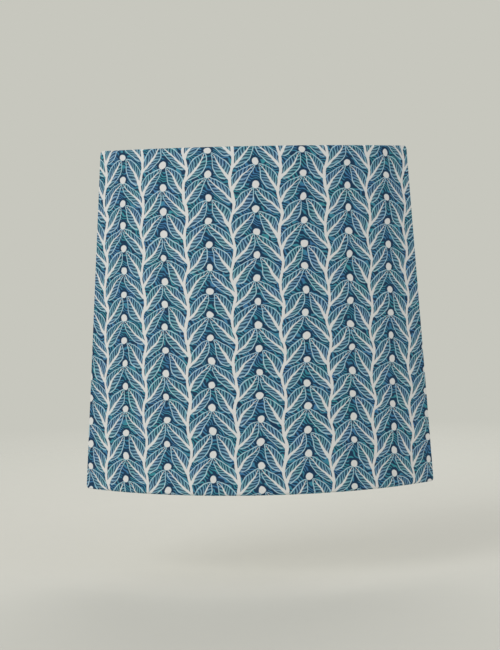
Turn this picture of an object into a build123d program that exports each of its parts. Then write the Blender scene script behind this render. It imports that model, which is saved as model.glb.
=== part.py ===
from build123d import *
from math import asin, atan2, cos, degrees, radians, sin, sqrt, tan
import os

# Sizes in millimetres and degrees. The origin lies on the corner line of the two walls, midway between the
# wall screws. +Z is up and the front faces -Y; each wall runs away from the corner at half_corner to -Y.
half_corner = 45.0

# Shade: a quarter of a cone round the corner line, paper glued to a stiff liner on a wire frame
shade_height = 275.0
shade_top_radius = 178.0
shade_bottom_radius = 202.0
shade_top_z = 110.0
paper_thickness = 0.3
glue_thickness = 0.1
liner_thickness = 0.6
wire_diameter = 3.5
hem_wrap = 255.0
panel_wall_gap = 1.0
panel_corner = 3.0
leg_standoff = 4.0
apex_bend = 12.0
return_length = 30.0

# Corner plate: folded sheet with a wide foot under the cover, a narrow spine and a hook on each wall
plate_thickness = 2.0
plate_bend = 2.0
plate_width = 62.0
plate_below = 90.0
plate_shoulder = 16.0
spine_width = 42.0
plate_corner = 8.0
wall_screw_along = 24.0
wall_screw_spacing = 140.0
wall_screw_hole = 5.0
hook_along = 31.0
hook_width = 16.0
hook_lip = 4.5
cable_along = 30.0
cable_z = -30.0
cable_bore = 8.0
grommet_diameter = 14.0
grommet_flange = 20.0

# Cover over the wiring, and the tabs that hold it
cover_along = 58.0
cover_depth = 18.0
cover_bottom_z = -88.0
cover_height = 100.0
cover_thickness = 1.5
cover_edge = 6.0
cover_rim = 3.0
tab_z = -38.0
tab_width = 16.0
tab_reach = 14.0
cover_screw = 4.0
cover_screw_length = 9.0
cover_screw_head = 8.0
cover_screw_dome = 2.4

# Wiring inside the cover
block_along = 30.0
block_z = -20.0
block_width = 17.0
block_length = 33.0
block_base = 8.0
pole_pitch = 10.5
tower_diameter = 6.4
tower_height = 5.0
tower_spacing = 8.0
tube_diameter = 5.0
tube_wall = 0.8
tube_length = 14.0
tube_rise = 5.25
clamp_screw = 3.0
fixing_screw = 3.0
earth_along = 40.0
earth_z = -64.0
earth_stud_diameter = 4.0
earth_stud_length = 12.0
earth_washer_diameter = 9.0
earth_nut_flats = 7.0
earth_nut_height = 3.2

# Arm: a tube bent up under the lampholder
arm_z = -72.0
arm_diameter = 10.0
arm_wall = 1.0
arm_bend = 18.0
arm_inside = 14.0
lamp_out = 100.0
collar_diameter = 24.0
collar_height = 5.0
collar_dome = 4.0
nut_flats = 14.0
nut_height = 4.0
washer_diameter = 18.0
washer_thickness = 1.0

# Lampholder for the small screw cap, heights from the foot of its cap
holder_rise = 2.0
holder_diameter = 28.0
holder_wall = 2.0
neck_diameter = 15.0
neck_height = 6.0
dome_height = 12.0
bore_depth = 9.0
arm_depth = 10.0
ledge_height = 14.0
cap_height = 22.0
insert_flange = 3.0
insert_top = 27.0
skirt_top = 51.0
skirt_mouth = 17.2
rib_count = 24
rib_diameter = 1.8
rib_length = 14.5
shell_bore = 14.6
shell_wall = 0.6
shell_height = 19.5
spring_rise = 3.0
spring_width = 5.0
spring_span = 8.0
spring_thickness = 0.4
grub_diameter = 3.0
grub_slot = 0.6
grub_slot_depth = 0.9

# Bulb: small screw cap, plastic collar and opal globe
bulb_cap_diameter = 13.6
bulb_cap_height = 16.0
bulb_contact_diameter = 4.8
bulb_contact_height = 1.5
insulator_height = 4.0
insulator_foot = 8.4
bulb_collar_height = 19.0
globe_diameter = 45.0
globe_wall = 1.0
globe_seat_diameter = 31.5
board_diameter = 26.8
board_thickness = 1.2
chip_count = 8
chip_ring = 18.9
chip_size = 2.4
chip_height = 0.6

# Clearances
fit = 0.1
bond = 0.05
seat = 0.2
loose = 0.4

wire_r = wire_diameter / 2
shade_bottom_z = shade_top_z - shade_height
slope = atan2(shade_bottom_radius - shade_top_radius, shade_height)
slant = shade_height / cos(slope)

# Across the shade's wall, measured in from the outside of the paper
liner_out = -(paper_thickness + glue_thickness)
liner_in = liner_out - liner_thickness
wire_in = liner_in - bond - wire_r
hem_r = (wire_diameter + bond - liner_in + bond - paper_thickness) / 2
hem_in = -paper_thickness - hem_r
hem_low = hem_r + paper_thickness
hem_high = slant - hem_low

top_wire_radius = shade_bottom_radius + wire_in * cos(slope) - hem_high * sin(slope)
top_wire_z = shade_bottom_z + wire_in * sin(slope) + hem_high * cos(slope)
bottom_wire_radius = shade_bottom_radius + wire_in * cos(slope) - hem_low * sin(slope)
bottom_wire_z = shade_bottom_z + wire_in * sin(slope) + hem_low * cos(slope)

# The bends leave just enough room for the side stays to stand in the corners of the rings
ring_bend = (wire_diameter + 2 * bond) / (sqrt(2) - 1)
stay_angle = degrees(asin(leg_standoff / top_wire_radius))
bottom_standoff = bottom_wire_radius * sin(radians(stay_angle))
panel_half = half_corner - degrees(asin(panel_wall_gap / shade_top_radius))
hem_half = half_corner - degrees(asin((leg_standoff + ring_bend + wire_r) / shade_top_radius))
stay_half = half_corner - stay_angle

hook_shelf = top_wire_z - wire_r - seat
hook_gap = leg_standoff + wire_r + loose
tab_face = cover_along - cover_thickness - fit
tab_screw_out = (plate_thickness + tab_reach) / 2
holder_z = arm_z + arm_bend + holder_rise
holder_r = holder_diameter / 2
cavity_r = holder_r - holder_wall
spigot_r = cavity_r - seat
insert_r = cavity_r - seat
contact_z = holder_z + insert_top + spring_rise + seat
insulator_z = contact_z + bulb_contact_height
cap_z = insulator_z + insulator_height
collar_z = cap_z + bulb_cap_height
globe_z = collar_z + bulb_collar_height
globe_r = globe_diameter / 2
globe_seat_r = globe_seat_diameter / 2
globe_centre_z = globe_z + sqrt(globe_r**2 - globe_seat_r**2)

wall_along = Vector(sin(radians(half_corner)), -cos(radians(half_corner)), 0)
wall_out = Vector(-cos(radians(half_corner)), -sin(radians(half_corner)), 0)
right_wall = Plane(origin=(0, 0, 0), x_dir=wall_along, z_dir=wall_out)
lamp_section = Plane(origin=(0, -lamp_out, 0), x_dir=(1, 0, 0), z_dir=(0, -1, 0))
lamp_axis = Axis((0, -lamp_out, 0), (0, 0, 1))


def by_wall(along, out, up):
    """A point along the right wall from the corner, out from it, and up."""
    return wall_along * along + wall_out * out + Vector(0, 0, up)


def flipped(point):
    """The same place by the left wall."""
    return Vector(-point.X, point.Y, point.Z)


def across_wall(along, up):
    """Plane square to the right wall: x out from the wall, y up, facing the corner."""
    return Plane(origin=by_wall(along, 0, up), x_dir=wall_out, z_dir=wall_along * -1)


def shade_section(bearing):
    """Upright plane through the corner line: x out of the shade's face, y up its slope."""
    out = Vector(cos(radians(bearing)), sin(radians(bearing)), 0)
    side = Vector(sin(radians(bearing)), -cos(radians(bearing)), 0)
    foot = out * shade_bottom_radius + Vector(0, 0, shade_bottom_z)
    return Plane(origin=foot, x_dir=out * cos(slope) + Vector(0, 0, sin(slope)), z_dir=side)


def panel_corners(panel, thickness):
    """The four short edges through a panel's thickness, nearest the walls."""
    beyond_hem = tan(radians((hem_half + panel_half) / 2))
    short = panel.edges().filter_by(lambda edge: edge.length < 1.5 * thickness)
    return short.filter_by(lambda edge: abs(edge.center().X) > -edge.center().Y * beyond_hem)


left_wall = Plane(origin=(0, 0, 0), x_dir=flipped(wall_along), z_dir=flipped(wall_out))
right_side = Plane(origin=by_wall(cover_along, tab_screw_out, tab_z), z_dir=wall_along)
left_side = Plane(origin=flipped(right_side.origin), z_dir=flipped(wall_along))
cover_front = -by_wall(cover_along, cover_depth, 0).Y
front_face = Plane(origin=(0, -cover_front, arm_z), x_dir=(1, 0, 0), z_dir=(0, -1, 0))
front_inside = front_face.offset(-cover_thickness)
plate_face = right_wall.offset(plate_thickness)
block_top = plate_face.offset(block_base)
tube_out = plate_thickness + tube_rise
poles = [(block_along, block_z + step * pole_pitch) for step in (-1, 0, 1)]
clamps = [(along + side * tower_spacing / 2, up) for along, up in poles for side in (-1, 1)]
fixing_spot = (block_along, block_z + pole_pitch / 2)

# Paper: a straight face between two rolled hems. The hems stop where the rings bend, and the plain face
# runs on to the walls.
with BuildPart() as shade_paper:
    with BuildSketch(shade_section(-90 - hem_half)):
        with BuildLine():
            Line((0, hem_low), (0, hem_high))
            top_outside = CenterArc((hem_in, hem_high), hem_r + paper_thickness, 0, hem_wrap)
            top_inside = CenterArc((hem_in, hem_high), hem_r, 0, hem_wrap)
            Line(top_outside @ 1, top_inside @ 1)
            Line((-paper_thickness, hem_low), (-paper_thickness, hem_high))
            low_outside = CenterArc((hem_in, hem_low), hem_r + paper_thickness, 0, -hem_wrap)
            low_inside = CenterArc((hem_in, hem_low), hem_r, 0, -hem_wrap)
            Line(low_outside @ 1, low_inside @ 1)
        make_face()
    revolve(axis=Axis.Z, revolution_arc=2 * hem_half)
    with BuildSketch(shade_section(-90 - panel_half)):
        with Locations((-paper_thickness / 2, slant / 2)):
            Rectangle(paper_thickness, slant - 2 * paper_thickness)
    revolve(axis=Axis.Z, revolution_arc=2 * panel_half)
    fillet(panel_corners(shade_paper, paper_thickness), panel_corner)

# Liner: the plain panel under the paper, from wire to wire
with BuildPart() as shade_liner:
    with BuildSketch(shade_section(-90 - panel_half)):
        with Locations(((liner_out + liner_in) / 2, slant / 2)):
            Rectangle(liner_thickness, hem_high - hem_low)
    revolve(axis=Axis.Z, revolution_arc=2 * panel_half)
    fillet(panel_corners(shade_liner, liner_thickness), panel_corner)

# Top wire: one closed ring, an arc in the hem and two legs along the walls that meet at the corner
apex_centre = -(leg_standoff + apex_bend) / sin(radians(half_corner))
with BuildPart() as shade_top_wire:
    with BuildLine(Plane.XY.offset(top_wire_z)) as top_path:
        top_arc = CenterArc((0, 0), top_wire_radius, -90, stay_half)
        apex_arc = CenterArc((0, apex_centre), apex_bend, 90, -half_corner)
        Line(top_arc @ 1, apex_arc @ 1)
        fillet(top_path.vertices().sort_by(Axis.X)[-1], ring_bend)
    with BuildSketch(Plane(origin=(0, -top_wire_radius, top_wire_z), z_dir=(1, 0, 0))):
        Circle(wire_r)
    sweep(path=top_path.wire())
    mirror(about=Plane.YZ)

# Bottom wire: an arc in the hem with a short return along each wall
return_end = bottom_wire_radius - ring_bend - return_length
with BuildPart() as shade_bottom_wire:
    with BuildLine(Plane.XY.offset(bottom_wire_z)) as bottom_path:
        low_arc = CenterArc((0, 0), bottom_wire_radius, -90 - stay_half, 2 * stay_half)
        tip = by_wall(return_end, bottom_standoff, 0)
        Line((-tip.X, tip.Y), low_arc @ 0)
        Line(low_arc @ 1, (tip.X, tip.Y))
        fillet(bottom_path.vertices(), ring_bend)
    with BuildSketch(Plane(origin=bottom_path.wire() @ 0, z_dir=bottom_path.wire() % 0)):
        Circle(wire_r)
    sweep(path=bottom_path.wire())

# Side stays: straight wires up the two edges, in the corners of the rings
stay_length = hem_high - hem_low + wire_diameter
stays = {}
for name, side in (("shade_left_stay", -1), ("shade_right_stay", 1)):
    section = shade_section(-90 + side * stay_half)
    foot = section.from_local_coords((wire_in, hem_low - wire_r, 0))
    with BuildPart() as stay:
        with BuildSketch(Plane(origin=foot, x_dir=section.x_dir, z_dir=section.y_dir)):
            Circle(wire_r)
        extrude(amount=stay_length)
    stays[name] = stay.part

# Corner plate: right half with its hook and tab, mirrored, then rounded at the fold and pierced for the cable
wall_screws = [(wall_screw_along, end * wall_screw_spacing / 2) for end in (-1, 1)]
window = tab_reach - plate_thickness
hook_end = hook_along + hook_width / 2
with BuildPart() as corner_backplate:
    with BuildSketch(right_wall) as flange:
        with BuildLine():
            Polyline(
                (0, -plate_below),
                (plate_width, -plate_below),
                (plate_width, plate_shoulder),
                (spine_width, plate_shoulder),
                (spine_width, hook_shelf - plate_thickness),
                (0, hook_shelf - plate_thickness),
                close=True,
            )
        make_face()
        fillet(flange.vertices().sort_by(Axis.X)[2:].sort_by(Axis.Y)[:-1], plate_corner)
        with Locations(wall_screws):
            Circle(wall_screw_hole / 2, mode=Mode.SUBTRACT)
        with Locations((tab_face - plate_thickness, tab_z)):
            Rectangle(window, tab_width + 2 * loose, align=(Align.MAX, Align.CENTER), mode=Mode.SUBTRACT)
    extrude(amount=plate_thickness)
    with BuildSketch(across_wall(hook_end, hook_shelf)) as hook:
        with BuildLine():
            Polyline(
                (0, -plate_thickness),
                (hook_gap + plate_thickness, -plate_thickness),
                (hook_gap + plate_thickness, hook_lip),
                (hook_gap, hook_lip),
                (hook_gap, 0),
                (0, 0),
                close=True,
            )
        make_face()
        fillet(hook.vertices().sort_by(Axis.Y)[:2].sort_by(Axis.X)[-1], plate_thickness)
    extrude(amount=hook_width)
    with BuildSketch(across_wall(tab_face, tab_z)):
        Rectangle(tab_reach, tab_width, align=(Align.MIN, Align.CENTER))
        with Locations((tab_screw_out, 0)):
            Circle(cover_screw / 2 + bond, mode=Mode.SUBTRACT)
    extrude(amount=plate_thickness)
    mirror(about=Plane.YZ)
    fold = corner_backplate.edges().filter_by(Axis.Z).filter_by(lambda edge: abs(edge.center().X) < bond)
    fillet(fold.sort_by(Axis.Y)[-1], plate_bend + plate_thickness)
    with BuildSketch(left_wall):
        with Locations((cable_along, -cable_z)):
            Circle(grommet_diameter / 2)
    extrude(amount=plate_thickness, mode=Mode.SUBTRACT)
    with BuildSketch(right_wall):
        with Locations(fixing_spot):
            Circle(fixing_screw / 2 + bond)
    extrude(amount=plate_thickness, mode=Mode.SUBTRACT)

with BuildPart() as cable_grommet:
    with BuildSketch(left_wall):
        with Locations((cable_along, -cable_z)):
            Circle(grommet_diameter / 2 - bond)
    extrude(amount=plate_thickness)
    with BuildSketch(left_wall.offset(plate_thickness)):
        with Locations((cable_along, -cable_z)):
            Circle(grommet_flange / 2)
    extrude(amount=plate_thickness)
    rim = cable_grommet.edges().filter_by(GeomType.CIRCLE).sort_by(SortBy.RADIUS)[-2:]
    fillet(rim.sort_by(Axis.Y)[0], plate_thickness / 2)
    with BuildSketch(left_wall):
        with Locations((cable_along, -cable_z)):
            Circle(cable_bore / 2)
    extrude(amount=2 * plate_thickness, mode=Mode.SUBTRACT)

# Wiring: a block with three brass tubes, each with two clamping screws, and an earth stud
with BuildPart() as terminal_block:
    with BuildSketch(plate_face):
        with Locations((block_along, block_z)):
            RectangleRounded(block_width, block_length, cover_thickness)
    extrude(amount=block_base)
    with BuildSketch(block_top):
        with Locations(clamps):
            Circle(tower_diameter / 2)
    extrude(amount=tower_height)
    with BuildSketch(plate_face):
        with Locations(fixing_spot):
            Circle(fixing_screw / 2 + fit)
    extrude(amount=block_base, mode=Mode.SUBTRACT)
    with BuildSketch(right_wall.offset(tube_out)):
        with Locations(clamps):
            Circle(clamp_screw / 2 + fit)
    extrude(amount=block_base + tower_height, mode=Mode.SUBTRACT)
    for along, up in poles:
        with BuildSketch(across_wall(along + block_width / 2, up)):
            with Locations((tube_out, 0)):
                Circle(tube_diameter / 2 + bond)
        extrude(amount=block_width, mode=Mode.SUBTRACT)

with BuildPart() as terminal_tubes:
    for along, up in poles:
        with BuildSketch(across_wall(along + tube_length / 2, up)):
            with Locations((tube_out, 0)):
                Circle(tube_diameter / 2)
                Circle(tube_diameter / 2 - tube_wall, mode=Mode.SUBTRACT)
        extrude(amount=tube_length)
    with BuildSketch(right_wall.offset(tube_out)):
        with Locations(clamps):
            Circle(clamp_screw / 2 + bond)
    extrude(amount=tube_diameter, mode=Mode.SUBTRACT)

with BuildPart() as terminal_clamp_screws:
    with BuildSketch(right_wall.offset(tube_out + seat)):
        with Locations(clamps):
            Circle(clamp_screw / 2)
    extrude(amount=tube_diameter + seat)

with BuildPart() as terminal_fixing_screw:
    with BuildSketch(right_wall.offset(seat)):
        with Locations(fixing_spot):
            Circle(fixing_screw / 2)
    extrude(amount=plate_thickness + block_base - seat)
    with BuildSketch(block_top):
        with Locations(fixing_spot):
            Circle((pole_pitch - tower_diameter) / 2)
    extrude(amount=fixing_screw / 2)

with BuildPart() as earth_stud:
    with BuildSketch(plate_face):
        with Locations((earth_along, earth_z)):
            Circle(earth_stud_diameter / 2)
    extrude(amount=earth_stud_length)
    chamfer(earth_stud.edges().filter_by(GeomType.CIRCLE).sort_by(Axis.Y)[0], loose)

with BuildPart() as earth_washer:
    with BuildSketch(plate_face):
        with Locations((earth_along, earth_z)):
            Circle(earth_washer_diameter / 2)
            Circle(earth_stud_diameter / 2 + fit, mode=Mode.SUBTRACT)
    extrude(amount=washer_thickness)

with BuildPart() as earth_nut:
    with BuildSketch(plate_face.offset(washer_thickness)):
        with Locations((earth_along, earth_z)):
            RegularPolygon(earth_nut_flats / 2, 6, major_radius=False)
            Circle(earth_stud_diameter / 2 + bond, mode=Mode.SUBTRACT)
    extrude(amount=earth_nut_height)

# Cover: a folded box that lands on the two flanges, open towards the walls
def cover_box(inset):
    """The cover's outside, or its hollow when inset by the thickness of the sheet."""
    side = cover_along - inset
    rake = tan(radians(half_corner))
    base = by_wall(side, plate_thickness, 0)
    front = by_wall(side, cover_depth - inset * (1 / sin(radians(half_corner)) - 1 / rake), 0)
    inner = by_wall(plate_thickness / rake, plate_thickness, 0)
    with BuildPart() as box:
        with BuildSketch(Plane.XY.offset(cover_bottom_z + inset)):
            with BuildLine():
                Polyline(
                    (inner.X, inner.Y),
                    (base.X, base.Y),
                    (front.X, front.Y),
                    (-front.X, front.Y),
                    (-base.X, base.Y),
                    close=True,
                )
            make_face()
        extrude(amount=cover_height - 2 * inset)
        fillet(box.edges().filter_by(Axis.Z).sort_by(Axis.Y)[:2], cover_edge - inset)
        ends = box.faces().filter_by(Axis.Z)
        fillet([edge for end in ends for edge in end.edges().sort_by(Axis.Y)[:-2]], cover_rim - inset)
    return box.part


with BuildPart() as corner_cover:
    add(cover_box(0))
    add(cover_box(cover_thickness), mode=Mode.SUBTRACT)
    with BuildSketch(front_face):
        Circle(arm_diameter / 2 + fit)
    extrude(amount=-2 * cover_thickness, mode=Mode.SUBTRACT)
    for side_face in (right_side, left_side):
        with BuildSketch(side_face):
            Circle(cover_screw / 2 + seat)
        extrude(amount=-2 * cover_thickness, mode=Mode.SUBTRACT)

with BuildPart() as cover_screws:
    with BuildSketch(right_side):
        Circle(cover_screw_head / 2)
    extrude(amount=cover_screw_dome)
    fillet(cover_screws.edges().filter_by(GeomType.CIRCLE).sort_by(Axis.X)[-1], cover_screw_dome / 2)
    with BuildSketch(right_side):
        Circle(cover_screw / 2)
    extrude(amount=-cover_screw_length)
    mirror(about=Plane.YZ)

# Arm: a bent tube through the cover, clamped by a collar outside and a nut and washer inside
arm_top = holder_z + arm_depth
with BuildPart() as lamp_arm:
    with BuildLine():
        FilletPolyline(
            (0, arm_inside - cover_front, arm_z),
            (0, -lamp_out, arm_z),
            (0, -lamp_out, arm_top),
            radius=arm_bend,
        )
    with BuildSketch(front_face.offset(-arm_inside)):
        Circle(arm_diameter / 2)
        Circle(arm_diameter / 2 - arm_wall, mode=Mode.SUBTRACT)
    sweep()

with BuildPart() as arm_collar:
    with BuildSketch(front_face):
        Circle(collar_diameter / 2)
    extrude(amount=collar_height)
    fillet(arm_collar.edges().filter_by(GeomType.CIRCLE).sort_by(Axis.Y)[0], collar_dome)
    with BuildSketch(front_face):
        Circle(arm_diameter / 2 + bond)
    extrude(amount=collar_height, mode=Mode.SUBTRACT)

with BuildPart() as arm_washer:
    with BuildSketch(front_inside):
        Circle(washer_diameter / 2)
        Circle(arm_diameter / 2 + bond, mode=Mode.SUBTRACT)
    extrude(amount=-washer_thickness)

with BuildPart() as arm_nut:
    with BuildSketch(front_inside.offset(-washer_thickness)):
        RegularPolygon(nut_flats / 2, 6, major_radius=False)
        Circle(arm_diameter / 2 + bond, mode=Mode.SUBTRACT)
    extrude(amount=-nut_height)

# Lampholder: cap, insert clamped between cap and skirt, brass thread shell and spring contact
neck_r = neck_diameter / 2
bore_r = arm_diameter / 2 + bond
wiring_r = cavity_r - insert_flange
bore_top = holder_z + bore_depth
with BuildPart() as lampholder_cap:
    with BuildSketch(lamp_section) as cap_profile:
        with BuildLine():
            Polyline(
                (bore_r, holder_z),
                (neck_r, holder_z),
                (neck_r, holder_z + neck_height),
                (holder_r, holder_z + dome_height),
                (holder_r, holder_z + cap_height),
                (cavity_r, holder_z + cap_height),
                (cavity_r, holder_z + ledge_height),
                (wiring_r, holder_z + ledge_height),
                (wiring_r, bore_top),
                (bore_r, bore_top),
                close=True,
            )
        make_face()
        shoulder = cap_profile.vertices().filter_by_position(Axis.X, holder_r - bond, holder_r + bond)
        fillet(shoulder.sort_by(Axis.Y)[0], holder_wall)
    revolve(axis=lamp_axis)
    with BuildSketch(Plane(origin=(0, -lamp_out, holder_z + neck_height / 2), z_dir=(1, 0, 0))):
        Circle(grub_diameter / 2 + bond)
    extrude(amount=holder_r, mode=Mode.SUBTRACT)

with BuildPart() as lampholder_grub_screw:
    with BuildSketch(Plane(origin=(bore_r, -lamp_out, holder_z + neck_height / 2), z_dir=(1, 0, 0))):
        Circle(grub_diameter / 2)
    extrude(amount=neck_r - bore_r)
    with BuildSketch(Plane(origin=(neck_r, -lamp_out, holder_z + neck_height / 2), z_dir=(1, 0, 0))):
        Rectangle(grub_diameter, grub_slot)
    extrude(amount=-grub_slot_depth, mode=Mode.SUBTRACT)

boss_r = spigot_r - holder_wall - seat
with BuildPart() as lampholder_insert:
    with BuildSketch(lamp_section):
        with BuildLine():
            Polyline(
                (0, holder_z + ledge_height),
                (insert_r, holder_z + ledge_height),
                (insert_r, holder_z + ledge_height + insert_flange),
                (boss_r, holder_z + ledge_height + insert_flange),
                (boss_r, holder_z + insert_top),
                (0, holder_z + insert_top),
                close=True,
            )
        make_face()
    revolve(axis=lamp_axis)

clamp_z = holder_z + ledge_height + insert_flange
mouth_r = skirt_mouth / 2
with BuildPart() as lampholder_skirt:
    with BuildSketch(lamp_section) as skirt_profile:
        with BuildLine():
            Polyline(
                (spigot_r - holder_wall, clamp_z),
                (spigot_r, clamp_z),
                (spigot_r, holder_z + cap_height),
                (holder_r, holder_z + cap_height),
                (holder_r, holder_z + skirt_top),
                (mouth_r, holder_z + skirt_top),
                (mouth_r, holder_z + skirt_top - holder_wall),
                (spigot_r, holder_z + skirt_top - holder_wall),
                (spigot_r, holder_z + cap_height + holder_wall),
                (spigot_r - holder_wall, holder_z + cap_height),
                close=True,
            )
        make_face()
        top_edge = skirt_profile.vertices().filter_by_position(Axis.X, holder_r - bond, holder_r + bond)
        fillet(top_edge.sort_by(Axis.Y)[-1], 2 * holder_wall)
    revolve(axis=lamp_axis)
    with Locations((0, -lamp_out, holder_z + cap_height + holder_wall)):
        with PolarLocations(holder_r, rib_count):
            Cylinder(rib_diameter / 2, rib_length, align=(Align.CENTER, Align.CENTER, Align.MIN))

shell_z = holder_z + insert_top
shell_r = shell_bore / 2 + shell_wall
with BuildPart() as lampholder_thread_shell:
    with BuildSketch(lamp_section):
        with BuildLine():
            Polyline(
                (spring_width, shell_z),
                (boss_r, shell_z),
                (boss_r, shell_z + shell_wall),
                (shell_r, shell_z + shell_wall),
                (shell_r, shell_z + shell_height),
                (shell_bore / 2, shell_z + shell_height),
                (shell_bore / 2, shell_z + shell_wall),
                (spring_width, shell_z + shell_wall),
                close=True,
            )
        make_face()
    revolve(axis=lamp_axis)

spring_half = spring_span / 2
with BuildPart() as lampholder_contact:
    with BuildSketch(Plane(origin=(0, -lamp_out, shell_z), x_dir=(1, 0, 0), z_dir=(0, -1, 0))):
        with BuildLine():
            bow = ThreePointArc((-spring_half, 0), (0, spring_rise), (spring_half, 0))
            under = ThreePointArc(
                (-spring_half + spring_thickness, 0),
                (0, spring_rise - spring_thickness),
                (spring_half - spring_thickness, 0),
            )
            Line(bow @ 0, under @ 0)
            Line(bow @ 1, under @ 1)
        make_face()
    extrude(amount=spring_width / 2, both=True)

# Bulb: contact and insulator on the lamp axis, screw cap, collar, board and hollow globe
with BuildPart() as bulb_contact:
    with BuildSketch(lamp_section):
        with BuildLine():
            Line((0, contact_z), (0, insulator_z))
            Line((0, insulator_z), (bulb_contact_diameter / 2, insulator_z))
            Spline(
                (bulb_contact_diameter / 2, insulator_z),
                (0, contact_z),
                tangents=((0, -1), (-1, 0)),
            )
        make_face()
    revolve(axis=lamp_axis)

bulb_cap_r = bulb_cap_diameter / 2
with BuildPart() as bulb_insulator:
    with BuildSketch(lamp_section):
        with BuildLine():
            Polyline(
                (0, insulator_z),
                (insulator_foot / 2, insulator_z),
                (bulb_cap_r - fit, cap_z),
                (0, cap_z),
                close=True,
            )
        make_face()
    revolve(axis=lamp_axis)

with BuildPart() as bulb_cap:
    with BuildSketch(lamp_section):
        with Locations((0, cap_z)):
            Rectangle(bulb_cap_r, bulb_cap_height, align=Align.MIN)
    revolve(axis=lamp_axis)
    fillet(bulb_cap.edges().filter_by(GeomType.CIRCLE).sort_by(Axis.Z)[0], loose)

with BuildPart() as bulb_collar:
    with BuildSketch(lamp_section):
        with BuildLine():
            Polyline(
                (bulb_cap_r + loose, collar_z),
                (0, collar_z),
                (0, globe_z),
                (globe_seat_r, globe_z),
            )
            Spline(
                (globe_seat_r, globe_z),
                (bulb_cap_r + loose, collar_z),
                tangents=((-(globe_z - collar_z), -globe_r), (0, -1)),
            )
        make_face()
    revolve(axis=lamp_axis)

with BuildPart() as bulb_led_board:
    with BuildSketch(Plane(origin=(0, -lamp_out, globe_z))):
        Circle(board_diameter / 2)
    extrude(amount=board_thickness)
    with BuildSketch(Plane(origin=(0, -lamp_out, globe_z + board_thickness))):
        with PolarLocations(chip_ring / 2, chip_count):
            Rectangle(chip_size, chip_size)
    extrude(amount=chip_height)

with BuildPart() as bulb_globe:
    with Locations((0, -lamp_out, globe_centre_z)):
        Sphere(globe_r)
        Sphere(globe_r - globe_wall, mode=Mode.SUBTRACT)
    split(bisect_by=Plane(origin=(0, 0, globe_z)), keep=Keep.TOP)

pieces = {
    "shade_paper": shade_paper.part,
    "shade_liner": shade_liner.part,
    "shade_top_wire": shade_top_wire.part,
    "shade_bottom_wire": shade_bottom_wire.part,
    **stays,
    "corner_backplate": corner_backplate.part,
    "cable_grommet": cable_grommet.part,
    "terminal_block": terminal_block.part,
    "terminal_tubes": terminal_tubes.part,
    "terminal_clamp_screws": terminal_clamp_screws.part,
    "terminal_fixing_screw": terminal_fixing_screw.part,
    "earth_stud": earth_stud.part,
    "earth_washer": earth_washer.part,
    "earth_nut": earth_nut.part,
    "corner_cover": corner_cover.part,
    "cover_screws": cover_screws.part,
    "lamp_arm": lamp_arm.part,
    "arm_collar": arm_collar.part,
    "arm_washer": arm_washer.part,
    "arm_nut": arm_nut.part,
    "lampholder_cap": lampholder_cap.part,
    "lampholder_grub_screw": lampholder_grub_screw.part,
    "lampholder_insert": lampholder_insert.part,
    "lampholder_skirt": lampholder_skirt.part,
    "lampholder_thread_shell": lampholder_thread_shell.part,
    "lampholder_contact": lampholder_contact.part,
    "bulb_contact": bulb_contact.part,
    "bulb_insulator": bulb_insulator.part,
    "bulb_cap": bulb_cap.part,
    "bulb_collar": bulb_collar.part,
    "bulb_led_board": bulb_led_board.part,
    "bulb_globe": bulb_globe.part,
}

os.makedirs("parts", exist_ok=True)
for name, piece in pieces.items():
    piece.label = name
    export_step(piece, f"parts/{name}.step")
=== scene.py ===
"""Looks of a corner wall light: printed paper shade, wire frame, corner plate, lampholder and bulb."""

from math import asin, atan2, cos, pi, radians, sin, sqrt, tan
from types import SimpleNamespace

import bpy
import numpy as np
from bpy.props import FloatProperty, FloatVectorProperty, PointerProperty
from mathutils import Color, Matrix, Vector


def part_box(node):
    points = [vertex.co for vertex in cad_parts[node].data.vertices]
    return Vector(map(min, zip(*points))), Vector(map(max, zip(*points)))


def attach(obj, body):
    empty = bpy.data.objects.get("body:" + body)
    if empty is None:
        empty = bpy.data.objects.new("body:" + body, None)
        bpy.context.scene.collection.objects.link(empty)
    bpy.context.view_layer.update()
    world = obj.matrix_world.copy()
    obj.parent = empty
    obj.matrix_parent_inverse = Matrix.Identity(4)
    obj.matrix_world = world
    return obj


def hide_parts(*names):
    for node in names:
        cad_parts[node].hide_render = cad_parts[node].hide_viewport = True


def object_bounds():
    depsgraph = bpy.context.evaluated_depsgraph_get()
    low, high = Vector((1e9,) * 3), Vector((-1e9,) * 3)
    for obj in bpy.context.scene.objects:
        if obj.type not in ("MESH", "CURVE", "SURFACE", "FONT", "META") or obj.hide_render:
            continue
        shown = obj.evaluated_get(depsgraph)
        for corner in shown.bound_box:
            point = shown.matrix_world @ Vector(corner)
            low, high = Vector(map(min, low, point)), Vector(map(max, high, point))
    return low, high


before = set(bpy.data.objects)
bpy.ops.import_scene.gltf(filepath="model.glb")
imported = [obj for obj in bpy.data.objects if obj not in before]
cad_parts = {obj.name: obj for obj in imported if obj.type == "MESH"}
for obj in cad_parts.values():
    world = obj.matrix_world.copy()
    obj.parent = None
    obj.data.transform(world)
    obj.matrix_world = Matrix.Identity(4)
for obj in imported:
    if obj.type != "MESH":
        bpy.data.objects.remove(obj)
cad_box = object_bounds()

bl_info = {
    "name": "Corner Wall Light",
    "version": (1, 0, 0),
    "blender": (4, 5, 0),
    "location": "View3D > Sidebar > Corner Light",
    "description": "Builds the looks of a corner wall light round its packed frame",
    "category": "Object",
}

MM = 0.001
MAP_NAME = "flat_paper"
SLIP = 0.05 * MM  # between a wire and what it lies against
MERGE_DIGITS = 7  # decimals of a metre to which points are told apart

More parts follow.
